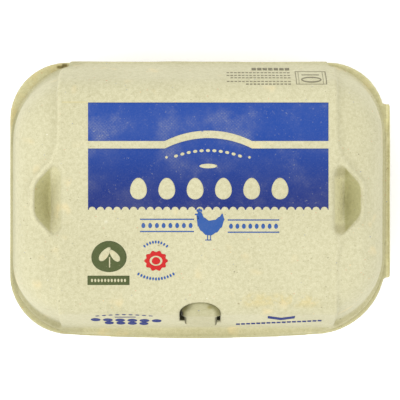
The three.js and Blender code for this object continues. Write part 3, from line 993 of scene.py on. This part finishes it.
@dataclass
class LabelPanel:
    """The print on the lid's flat panel: the banner, the rules, the hen and the two marks.

    Attributes:
        left: The banner's left edge in pixels.
        right: Its right edge.
        top: Its upper edge.
        bottom: The lowest reach of its scalloped edge.
        stripe: The upper and lower edges of the bare stripe across it.
        arch: Where the stripe's arch starts, peaks and ends, and how high it rises.
        scallops: How many scallops the lower edge has, and how deep they are.
        scallop_share: How much of the edge the scallops take, the rest being the teeth between.
        eggs: The middle of the first of the six bare eggs, and how far apart they lie.
        egg_size: Half an egg's width and height.
        dots: The ends of the arch of dots, and the row that they stand on.
        lozenge: The middle of the small lozenge under the dots.
        rule_pairs: The left and right end and the top of each pair of rules.
        rule_gap: How far apart the rules of a pair lie, and half the width of one.
        hen_reach: How far the hen's body reaches.
        hen_back: Points of its back, from the beak to the tail.
        hen_breast: Points of its breast, from the beak to the tail.
        hen_head: The foremost tooth of its comb.
        hen_legs: The column of each leg.
        hen_ground: The row that it stands on.
        seal: The middle of the green seal.
        seal_size: Half its width and height.
        plate: The edges of the green bar under it.
        rosette: The middle of the red rosette.
        rosette_size: Half its width and height.
    """

    left: float = 88.0
    right: float = 328.5
    top: float = 102.5
    bottom: float = 209.8
    stripe: Point = (141.0, 148.5)
    arch: tuple[float, float, float, float] = (165.0, 208.5, 252.0, 10.4)
    scallops: Point = (29.0, 3.0)
    scallop_share: float = 0.84
    eggs: tuple[float, float, float] = (138.5, 188.6, 28.3)
    egg_size: Point = (8.3, 10.8)
    dots: tuple[float, float, float] = (176.0, 240.0, 156.0)
    lozenge: Point = (208.3, 166.0)
    rule_pairs: Rows = ((140.0, 194.0, 219.3), (227.7, 279.3, 220.0))
    rule_gap: Point = (12.2, 0.6)
    hen_reach: Point = (196.6, 224.4)
    hen_back: Rows = ((196.6, 215.5), (198.4, 210.9), (201.2, 212.2), (204.2, 217.6), (209.0, 220.6),
                      (215.0, 219.8), (219.4, 216.8), (222.4, 213.4), (224.4, 219.0))
    hen_breast: Rows = ((196.6, 216.5), (197.6, 226.0), (201.0, 231.0), (206.0, 235.0), (211.0, 235.4),
                        (216.5, 232.6), (221.5, 227.6), (224.4, 220.0))
    hen_head: Point = (197.6, 210.6)
    hen_legs: Point = (207.6, 210.6)
    hen_ground: float = 240.5
    seal: Point = (109.0, 256.5)
    seal_size: Point = (17.6, 15.6)
    plate: tuple[float, float, float, float] = (87.5, 275.7, 129.5, 285.0)
    rosette: Point = (156.0, 260.8)
    rosette_size: Point = (11.0, 9.6)

    def arch_rise(self, px: float) -> float:
        """How many pixels the stripe rises at a pixel column."""
        start, peak, end, rise = self.arch
        if not start < px < end:
            return 0.0
        half = end - peak if px > peak else peak - start
        radius = (half * half + rise * rise) / (2 * rise)
        return math.sqrt(radius * radius - (px - peak) ** 2) - (radius - rise)

    def scalloped(self, px: float) -> float:
        """The banner's lower edge at a pixel column."""
        count, depth = self.scallops
        turns = count * (px - self.left) / (self.right - self.left)
        swing = abs(turns % 1.0 - 0.5) / (0.5 * self.scallop_share)
        return self.bottom - depth * math.sqrt(max(1 - swing * swing, 0.0))

    def banner(self) -> list[Shape]:
        """The blue banner in two fields, with the bare arched stripe between them."""
        upper, lower = self.stripe
        above = band(self.left, self.right, lambda px: self.top,
                     lambda px: upper - self.arch_rise(px), 160, 16)
        below = band(self.left, self.right, lambda px: lower - self.arch_rise(px),
                     self.scalloped, 464, 24)
        return [above, below]

    def knocked_out(self) -> list[Shape]:
        """What the banner leaves bare: six eggs in a row, an arch of dots and a small lozenge."""
        px, py, pitch = self.eggs
        left, right, base = self.dots
        eggs = row(6, px, py, pitch, *self.egg_size, 0.15, 10)
        arch = arc_row(11, left, right, base, 5.5, 2.1, 1.5)
        ends = row(2, left - 9.5, base + 1.3, right - left + 19.0, 1.3, 1.3)
        return [*eggs, *arch, *ends, egg(*self.lozenge, 9.0, 2.3, 0.0, 0.0, 6)]

    def rules(self) -> list[Shape]:
        """The two pairs of blue rules with a row of small ovals between each pair."""
        shapes = []
        gap, half = self.rule_gap
        for left, right, top in self.rule_pairs:
            for level in (top, top + gap):
                shapes.append(bar(left, level - half, right, level + half))
            count = int((right - left) / 6.2)
            pitch = (right - left) / count
            shapes += row(count, left + pitch / 2, top + 6.2, pitch, 1.9, 2.6, 0.1)
        return shapes

    def hen(self) -> list[Shape]:
        """A plain hen that looks to the left, between a curve for its back and one for its breast."""
        body = band(*self.hen_reach, lambda px: curve(self.hen_back, px),
                    lambda px: curve(self.hen_breast, px), 56, 14)
        px, py = self.hen_head
        comb = [egg(px + 1.8 * index, py - 0.9 * (index == 1), 1.1, 1.4, 0.0, 0.0, 4)
                for index in range(3)]
        beak = egg(px - 1.4, py + 3.8, 1.5, 0.8, 0.0, 0.0, 4)
        wattle = egg(px + 0.3, py + 7.4, 1.0, 1.7, 0.0, 0.0, 4)
        legs = []
        for px in self.hen_legs:
            legs.append(bar(px - 0.45, self.hen_ground - 5.9, px + 0.45, self.hen_ground - 0.7))
            legs.append(bar(px - 2.4, self.hen_ground - 1.0, px + 0.9, self.hen_ground))
        return [body, *comb, beak, wattle, *legs]

    def green_mark(self) -> list[Shape]:
        """A round green seal over a green bar."""
        return [egg(*self.seal, *self.seal_size, 0.06, 0.0, 14), bar(*self.plate)]

    def green_gaps(self) -> list[Shape]:
        """A leaf with its stalk on the seal, and a row of dots on the bar."""
        px, py = self.seal
        left, top = self.plate[:2]
        leaf = [egg(px - 4.0, py - 2.5, 3.7, 8.4, 0.2, 38.0), egg(px + 5.5, py - 1.0, 3.3, 7.4, 0.2, -40.0)]
        stalk = [bar(px, py + 0.5, px + 1.2, py + 11.0)]
        return leaf + stalk + row(11, left + 4.5, top + 4.7, 3.3, 1.05, 1.7)

    def red_mark(self) -> list[Shape]:
        """A petalled red rosette with a solid heart."""
        petals = ring(*self.rosette, *self.rosette_size, 4.6, 10, 0.09, 60)
        return [petals, egg(*self.rosette, 4.2, 3.7, 0.1, 0.0, 6)]

    def blue_arcs(self) -> list[Shape]:
        """The two rows of small blue ovals that curve over and under the rosette."""
        px, py = self.rosette
        return (arc_row(9, px - 11.5, px + 11.0, py - 14.6, 4.2, 0.95, 1.5)
                + arc_row(13, px - 17.5, px + 17.5, py + 13.2, -5.0, 1.0, 1.6))


@dataclass
class WallPrints:
    """The small prints on the lid's front and back walls, as they show from above.

    Attributes:
        arch: The ends of the arch of dots at the front's left, and the row that it stands on.
        ovals: The middle of the first oval of each row under it.
        chevron: The chevron's left and right end, and the row of its peak.
        dashes: The start of the long row of dashes, how far apart they lie and the row's slope.
        lines: Each row of fine dashes on the back: its row, its left end and half its height.
        lines_end: The right end of those rows.
        uprights: The left and right edge of each upright line of the box beside them.
        box: The left, upper, right and lower edge of that box.
    """

    arch: tuple[float, float, float] = (98.0, 151.0, 315.2)
    ovals: Rows = ((95.5, 319.8), (108.5, 323.8))
    chevron: tuple[float, float, float] = (267.5, 294.5, 317.4)
    dashes: tuple[float, float, float, float] = (236.5, 325.6, 5.1, -0.055)
    lines: Rows = ((68.0, 252.0, 1.5), (72.3, 226.0, 0.5), (75.6, 229.0, 0.5),
                   (78.4, 232.0, 0.55), (82.4, 228.0, 0.45), (85.2, 246.0, 0.6))
    lines_end: float = 290.0
    uprights: Rows = ((295.2, 296.0), (298.0, 298.5), (322.2, 322.7), (325.0, 326.0))
    box: tuple[float, float, float, float] = (295.2, 70.8, 326.0, 85.4)

    def front_left(self) -> list[Shape]:
        """Two short rows of blue ovals under an arch of dots."""
        left, right, base = self.arch
        first, second = self.ovals
        shapes = arc_row(9, left, right, base, 1.5, 2.2, 0.5)
        shapes.append(bar(left + 17.0, base + 1.0, right - 15.0, base + 1.8))
        shapes += row(6, *first, 12.2, 4.9, 1.9, cells=6, drop=0.3)
        return shapes + row(4, *second, 11.6, 4.6, 1.9, cells=6, drop=0.3)

    def front_right(self) -> list[Shape]:
        """A blue chevron over a long row of dashes."""
        left, right, peak = self.chevron

        def edge(px: float) -> float:
            """The chevron's upper edge at a pixel column."""
            return peak - 0.17 * abs(px - (left + right) / 2)

        shapes = [band(left, right, edge, lambda px: edge(px) + 3.0, 18, 4)]
        start, base, pitch, slope = self.dashes
        for index in range(17):
            px = start + pitch * index
            level = base + slope * pitch * index
            shapes.append(bar(px, level - 0.9, px + 3.9, level + 0.9))
        return shapes

    def back(self) -> list[Shape]:
        """Rows of fine grey dashes beside an outlined box with a ring in it."""
        shapes = []
        for level, left, half in self.lines:
            width = 2.6 if half < 1 else 4.4
            px = self.lines_end
            while px > left:
                shapes.append(bar(px - width, level - half, px, level + half))
                px -= width + 1.2
        left, top, right, bottom = self.box
        for start, end in self.uprights:
            shapes.append(bar(start, top, end, bottom))
        for level in (top + 0.2, bottom - 0.2):
            shapes.append(bar(left, level - 0.3, right, level + 0.3))
        shapes.append(bar(left + 6.3, top + 3.6, right - 7.0, top + 4.6))
        shapes.append(ring((left + right) / 2, bottom - 5.0, 10.2, 3.3, 1.5))
        return shapes


class Inks:
    """The carton's four inks and its bare pulp, made once each."""

    def __init__(self) -> None:
        """Makes the materials."""
        pale, grey = (0.024, 0.078, 0.27), (0.19, 0.175, 0.115)
        self.pulp = PulpFinish("pulp_knocked_out", flecks=False).make()
        self.blue = InkFinish("blue_ink", (0.009, 0.021, 0.140), (0.013, 0.052, 0.262)).make()
        self.pale_blue = InkFinish("pale_blue_ink", pale, pale, haze=0.5).make()
        self.green = InkFinish("green_ink", (0.062, 0.080, 0.026), (0.066, 0.085, 0.028), haze=0.1).make()
        self.red = InkFinish("red_ink", (0.45, 0.012, 0.014), (0.46, 0.013, 0.015),
                             wear=0.6, haze=0.15).make()
        self.grey = InkFinish("grey_ink", grey, grey, wear=1.0).make()


@dataclass(frozen=True)
class Studio:
    """A white table, a white room and soft lights over the carton.

    Attributes:
        table: Side of the table.
        tones: The two greys between which the table's white wavers.
        sky: Strength of the room's white.
        key: Power of the large square lamp in front on the left, in watts.
        key_place: Where it hangs.
        key_size: Its side.
        aim: The height over the table's middle that it faces.
        glow: How much the table shines by itself, like a lit table for product photographs.
    """

    table: float = 8.0
    tones: Point = (0.93, 0.97)
    sky: float = 1.30
    key: float = 8.0
    key_place: tuple[float, float, float] = (-0.6, -0.45, 1.3)
    key_size: float = 1.1
    aim: float = 0.04
    glow: float = 0.1

    def build(self) -> None:
        """Sets out the table, the room's light and the lamp."""
        Bench.clear()
        bpy.ops.mesh.primitive_plane_add(size=self.table, location=(0, 0, 0))
        floor = bpy.context.object
        floor.name = "table"
        desk = NodeDesk("white_table")
        low, high = ((tone, tone, tone) for tone in self.tones)
        tone = desk.mix(desk.spread(desk.noise(3.0), 0.3, 0.7), low, high)
        desk.put(desk.shader.inputs["Base Color"], tone)
        desk.shader.inputs["Roughness"].default_value = 0.9
        desk.shader.inputs["Emission Color"].default_value = (1.0, 1.0, 1.0, 1.0)
        desk.shader.inputs["Emission Strength"].default_value = self.glow
        floor.data.materials.append(desk.material)
        world = bpy.data.worlds.new("white_room")
        bpy.context.scene.world = world
        world.use_nodes = True
        background = world.node_tree.nodes["Background"]
        background.inputs["Color"].default_value = (1.0, 1.0, 1.0, 1.0)
        background.inputs["Strength"].default_value = self.sky
        self.hang_lamp()
        bpy.context.scene.view_settings.view_transform = "Standard"

    def hang_lamp(self) -> None:
        """Hangs the soft square lamp that faces the carton."""
        bpy.ops.object.light_add(type="AREA", location=self.key_place)
        lamp = bpy.context.object
        lamp.name = "key_lamp"
        lamp.data.shape = "SQUARE"
        lamp.data.size = self.key_size
        lamp.data.energy = self.key
        way = Vector((0, 0, self.aim)) - Vector(self.key_place)
        lamp.rotation_euler = way.to_track_quat("-Z", "Y").to_euler()


def rim_painted_shading() -> tuple[Tint, ...]:
    """Painted shade and painted light on the lid's rim, on the foot of its walls and on its front wall."""
    return (
        Tint((0.98, 0.97, 0.93), ALL, ALL, under(35.6), 0.6),
        Tint((0.95, 0.945, 0.90), ALL, ALL, under(41.0), 4.0),
        Tint((0.78, 0.78, 0.72), over(71.6), ALL, under(60.0), 1.1, Side.LEFT),
        Tint((0.80, 0.80, 0.77), over(50.0), under(-26.0), under(41.0), 7.0, Side.LEFT),
        Tint((0.86, 0.86, 0.82), over(46.0), over(22.0), under(46.0), 4.0, Side.LEFT),
        Tint((0.82, 0.82, 0.76), ALL, under(-53.5), ALL, 0.6),
        Tint((1.09, 1.09, 1.09), under(46.0), under(-49.5), under(36.6), 0.6),
        Tint((0.91, 0.91, 0.86), over(71.8), ALL, under(61.0), 1.4, Side.RIGHT),
        Tint((0.94, 0.94, 0.93), ALL, under(-41.0), ALL, 4.0),
    )


def dimple_painted_shading() -> tuple[Tint, ...]:
    """Painted shade in both dimples, painted light on their inner slopes, and painted shadow in the right
    one's tips.
    """
    inside = {"path": "mouth", "bounds": ((0.15, -0.35),)}
    return (
        Tint((0.88, 0.88, 0.69), over(57.3), ALL, over(50.0), 0.5, **inside),
        Tint((1.10, 1.10, 1.05), (51.5, 56.9), (-13.0, 13.0), (50.0, 66.6), 0.9, Side.LEFT),
        Tint((0.88, 0.88, 0.86), over(57.0), ALL, over(50.0), 0.6, Side.RIGHT, **inside),
        Tint((1.30, 1.30, 1.20), (50.2, 57.0), (-9.6, 9.0), (50.0, 66.4), 1.3, Side.RIGHT),
        Tint((0.78, 0.77, 0.66), (53.8, 58.6), (9.2, 12.9), (50.0, 67.6), 1.2, Side.RIGHT, **inside),
        Tint((0.88, 0.86, 0.76), (53.2, 60.0), (-13.2, -9.8), (50.0, 67.6), 1.1, Side.RIGHT, **inside),
    )


def crease_painted_shading() -> tuple[Tint, ...]:
    """A painted highlight inside the left crease, and painted shade outside both creases towards the hinge.
    """
    pale = {"path": "fold", "bounds": ((-2.2, -0.5), (0.2, -0.3))}
    dark = {"path": "fold", "bounds": ((3.8, 0.3), (-0.3, 0.2))}
    return (
        Tint((1.06, 1.06, 1.07), over(40.0), over(3.0), over(50.0), 6.0, Side.LEFT, **pale),
        Tint((0.94, 0.94, 0.93), ALL, over(3.0), over(50.0), 6.0, **dark),
        Tint((1.04, 1.04, 1.04), over(40.0), under(3.0), over(50.0), 6.0, Side.LEFT, **pale),
    )


def hole_painted_shading() -> tuple[Tint, ...]:
    """Painted light on the wall behind the button, and painted shade in the hole at both sides of its neck.
    """
    return (
        Tint((2.1, 2.1, 1.9), under(5.0), (-43.6, -38.9), (58.0, 66.9), 0.4, middle=0.0),
        Tint((0.08, 0.08, 0.05), under(7.95), (-47.4, -43.2), (45.0, 64.0), 0.25, middle=0.0),
    )


def stain_tints() -> tuple[Tint, ...]:
    """The stains: a yellow streak by the banner, a yellow patch before the front, and a pale spot."""
    return (
        Tint((1.0, 0.93, 0.72), (42.5, 52.5), (37.6, 38.1), ALL, 0.35, Side.LEFT, 0.7),
        Tint((1.04, 0.96, 0.78), (18.0, 47.0), (-41.0, -36.5), ALL, 2.0, Side.RIGHT, patchy=True),
        Tint((1.13, 1.15, 1.28), (34.9, 36.1), (-9.0, -8.0), ALL, 0.5, Side.LEFT),
    )


def tray_tints() -> tuple[Tint, ...]:
    """Painted shade and painted light on the tray's rim and torn strip, lighter pads, a stain and a painted
    slot shadow.
    """
    strip = (-31.5, 38.8)
    return (
        # A little lighter over the rim.
        Tint((1.07, 1.06, 0.97), ALL, ALL, over(29.0), 1.0),
        # Painted shade on the rim's outer edge and on its front.
        Tint((0.76, 0.76, 0.68), ALL, ALL, (29.0, 32.5), 0.35),
        Tint((0.78, 0.78, 0.72), ALL, under(-53.4), over(29.0), 0.6),
        # Painted light at the rim's back-right corner, painted shade at its front-left and front-right.
        Tint((1.10, 1.10, 1.08), over(50.0), over(30.0), over(29.0), 3.0, Side.RIGHT),
        Tint((0.84, 0.84, 0.81), over(50.0), under(-26.0), over(29.0), 3.0, Side.LEFT),
        Tint((0.94, 0.94, 0.92), over(50.0), under(-26.0), over(29.0), 3.0, Side.RIGHT),
        # Painted light on the torn strip, lighter pads on it, and painted shade along its outer edge.
        Tint((1.33, 1.33, 1.36), over(75.4), strip, ALL, 0.3, Side.RIGHT),
        Tint((1.10, 1.10, 1.06), (70.0, 76.2), (27.0, 32.6), ALL, 0.4, Side.RIGHT),
        Tint((1.08, 1.08, 1.05), (70.0, 76.2), (-26.0, -21.6), ALL, 0.4, Side.RIGHT),
        Tint((0.78, 0.77, 0.68), over(76.1), strip, ALL, 0.4, Side.RIGHT),
        # A patchy yellow stain at the back-left, partly painted shade.
        Tint((1.0, 0.88, 0.68), over(42.0), over(28.0), over(30.0), 3.0, Side.LEFT, 0.5, patchy=True),
        # Painted shadow in the slot at the left end of the hinge, in two overlapping boxes.
        Tint((0.35, 0.32, 0.20), (53.8, 56.3), (52.6, 53.7), ALL, 0.5, Side.LEFT),
        Tint((0.30, 0.27, 0.17), (52.2, 54.3), (53.1, 54.5), ALL, 0.5, Side.LEFT),
    )


def button_tints() -> tuple[Tint, ...]:
    """Painted shade on the button's flanks and round its head, a darker tone all over, and a painted shade
    on its head's right.
    """
    deep = {"middle": 0.0, "path": "edge", "bounds": ((4.0, 1.0),)}
    black = {"middle": 0.0, "path": "edge", "bounds": ((1.8, 1.0),)}
    slight = {"middle": 0.0, "path": "edge", "bounds": ((2.8, 0.6),)}
    return (
        # Painted shade on the head's rounded edges.
        Tint((0.70, 0.69, 0.58), ALL, over(-44.6), under(66.3), 0.8),
        # A darker tone over the head and over the neck.
        Tint((0.80, 0.80, 0.72), ALL, over(-44.0), ALL, 3.0),
        Tint((0.86, 0.85, 0.78), ALL, under(-44.0), ALL, 3.0),
        # Painted shade and a painted black gap at the left flank, painted shade at the right flank.
        Tint((0.28, 0.27, 0.17), over(3.6), over(-46.4), ALL, 2.2, Side.LEFT, **deep),
        Tint((0.15, 0.14, 0.08), over(2.8), (-46.6, -43.2), ALL, 0.5, Side.LEFT, **black),
        Tint((0.50, 0.49, 0.36), over(3.4), over(-46.8), ALL, 2.0, Side.RIGHT, **slight),
        # Painted shade on the head's rounded right side.
        Tint((0.80, 0.75, 0.50), (2.9, 4.4), (-42.2, -41.0), ALL, 0.7, Side.RIGHT, middle=0.0),
        # Painted shade on both flanks of the neck, low in the hole.
        Tint((0.25, 0.24, 0.14), over(5.6), under(-44.4), under(64.5), 0.4, middle=0.3),
    )


def print_lid(lid: bpy.types.Object, inks: Inks) -> None:
    """Lays every print on the lid.

    Args:
        lid: The finished lid.
        inks: The inks.
    """
    panel = LabelPanel()
    walls = WallPrints()
    jobs = (
        Print("banner", "ink_blue", inks.blue, panel.banner()),
        Print("banner_gaps", "pulp_lid", inks.pulp, panel.knocked_out(), layer=Layer.SECOND),
        Print("rules", "ink_blue", inks.pale_blue, panel.rules()),
        Print("hen", "ink_blue", inks.pale_blue, panel.hen()),
        Print("green_mark", "ink_green", inks.green, panel.green_mark()),
        Print("green_gaps", "pulp_lid", inks.pulp, panel.green_gaps(), layer=Layer.SECOND),
        Print("red_mark", "ink_red", inks.red, panel.red_mark()),
        Print("blue_arcs", "ink_blue", inks.pale_blue, panel.blue_arcs()),
        Print("front_left_print", "ink_blue", inks.blue, walls.front_left(), Facing.WALL),
        Print("front_right_print", "ink_blue", inks.blue, walls.front_right(), Facing.WALL),
        Print("back_print", "ink_grey", inks.grey, walls.back(), Facing.WALL),
    )
    for job in jobs:
        job.lay(lid)


def main() -> None:
    """Builds the carton's parts in order, then the studio and the camera."""
    logging.basicConfig(level=logging.INFO, format="%(message)s")
    tray_pulp = PulpFinish("tray_pulp", (0.50, 0.475, 0.300), (0.315, 0.288, 0.148), tints=tray_tints())
    TrayForm("tray", "pulp_tray", tray_pulp, grain=0.6 * MM).build()
    tints = rim_painted_shading() + dimple_painted_shading() + crease_painted_shading() + hole_painted_shading() + stain_tints()
    lid = LidForm("lid", "pulp_lid", PulpFinish("lid_pulp", tints=tints), grain=0.5 * MM).build()
    button_pulp = PulpFinish("button_pulp", (0.50, 0.48, 0.32), (0.32, 0.295, 0.16), tints=button_tints())
    ButtonForm("lock_button", "pulp_button", button_pulp, grain=0.3 * MM,
               broad_rounds=4, keep=0.6, swell=(0.0, 0.0)).build()
    print_lid(lid, Inks())
    Studio().build()
    VIEW.add_camera()


if __name__ == "__main__":
    main()
